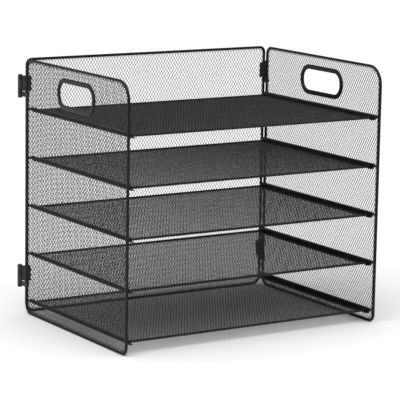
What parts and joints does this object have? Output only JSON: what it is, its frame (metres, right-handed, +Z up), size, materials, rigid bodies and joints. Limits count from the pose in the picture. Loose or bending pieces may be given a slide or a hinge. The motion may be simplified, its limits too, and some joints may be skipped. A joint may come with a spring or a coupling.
{
  "type": "desktop file sorter",
  "caption": "Folding mesh desk sorter: hinged wire-framed side and back panels with hand holes, carrying a stack of shallow pull-out paper trays.",
  "frame": {"origin": "centre of the whole footprint, hinge knuckles included, on the desk", "axes": "+X to the right across the open front, +Y from the open front to the back panel, +Z up"},
  "size_m": [0.3362, 0.2408, 0.2926],
  "materials": {
    "panel_mesh": "satin black powder coat",
    "tray_mesh": "satin black powder coat",
    "frame_wire": "satin black powder coat",
    "handle_rim": "satin black powder coat",
    "support_wire": "satin black powder coat",
    "hinge_pin": "satin black powder coat",
    "hinge_leaf": "satin black powder coat",
    "tray_bar": "satin black powder coat",
    "tray_rail": "satin black powder coat"
  },
  "bodies": {
    "back_panel": {"back_frame": "frame_wire", "back_mesh": "panel_mesh", "left_top_hinge_back_leaf": "hinge_leaf", "left_top_hinge_pin": "hinge_pin", "left_bottom_hinge_back_leaf": "hinge_leaf", "left_bottom_hinge_pin": "hinge_pin", "right_top_hinge_back_leaf": "hinge_leaf", "right_top_hinge_pin": "hinge_pin", "right_bottom_hinge_back_leaf": "hinge_leaf", "right_bottom_hinge_pin": "hinge_pin"},
    "left_panel": {"left_frame": "frame_wire", "left_mesh": "panel_mesh", "left_handle_rim": "handle_rim", "left_support_wires": "support_wire", "left_top_hinge_side_leaf": "hinge_leaf", "left_bottom_hinge_side_leaf": "hinge_leaf"},
    "right_panel": {"right_frame": "frame_wire", "right_mesh": "panel_mesh", "right_handle_rim": "handle_rim", "right_support_wires": "support_wire", "right_top_hinge_side_leaf": "hinge_leaf", "right_bottom_hinge_side_leaf": "hinge_leaf"},
    "tray_1": {"tray_1_floor": "tray_mesh", "tray_1_front_bar": "tray_bar", "tray_1_rear_bar": "tray_bar", "tray_1_left_rail": "tray_rail", "tray_1_right_rail": "tray_rail", "tray_1_left_runner": "tray_rail", "tray_1_right_runner": "tray_rail"},
    "tray_2": {"tray_2_floor": "tray_mesh", "tray_2_front_bar": "tray_bar", "tray_2_rear_bar": "tray_bar", "tray_2_left_rail": "tray_rail", "tray_2_right_rail": "tray_rail", "tray_2_left_runner": "tray_rail", "tray_2_right_runner": "tray_rail"},
    "tray_3": {"tray_3_floor": "tray_mesh", "tray_3_front_bar": "tray_bar", "tray_3_rear_bar": "tray_bar", "tray_3_left_rail": "tray_rail", "tray_3_right_rail": "tray_rail", "tray_3_left_runner": "tray_rail", "tray_3_right_runner": "tray_rail"},
    "tray_4": {"tray_4_floor": "tray_mesh", "tray_4_front_bar": "tray_bar", "tray_4_rear_bar": "tray_bar", "tray_4_left_rail": "tray_rail", "tray_4_right_rail": "tray_rail", "tray_4_left_runner": "tray_rail", "tray_4_right_runner": "tray_rail"},
    "tray_5": {"tray_5_floor": "tray_mesh", "tray_5_front_bar": "tray_bar", "tray_5_rear_bar": "tray_bar", "tray_5_left_rail": "tray_rail", "tray_5_right_rail": "tray_rail", "tray_5_left_runner": "tray_rail", "tray_5_right_runner": "tray_rail"}
  },
  "joints": [
    {"name": "left_panel_swing", "type": "hinge", "parent": "back_panel", "child": "left_panel", "pos_m": [-0.1654, 0.1177, 0.15], "axis": [0, 0, -1], "range_deg": [0, 180]},
    {"name": "right_panel_swing", "type": "hinge", "parent": "back_panel", "child": "right_panel", "pos_m": [0.1654, 0.1177, 0.15], "axis": [0, 0, 1], "range_deg": [0, 180]},
    {"name": "tray_1_slide", "type": "slide", "parent": "back_panel", "child": "tray_1", "axis": [0, -1, 0], "range_m": [0, 0.18]},
    {"name": "tray_2_slide", "type": "slide", "parent": "back_panel", "child": "tray_2", "axis": [0, -1, 0], "range_m": [0, 0.18]},
    {"name": "tray_3_slide", "type": "slide", "parent": "back_panel", "child": "tray_3", "axis": [0, -1, 0], "range_m": [0, 0.18]},
    {"name": "tray_4_slide", "type": "slide", "parent": "back_panel", "child": "tray_4", "axis": [0, -1, 0], "range_m": [0, 0.18]},
    {"name": "tray_5_slide", "type": "slide", "parent": "back_panel", "child": "tray_5", "axis": [0, -1, 0], "range_m": [0, 0.18]}
  ]
}
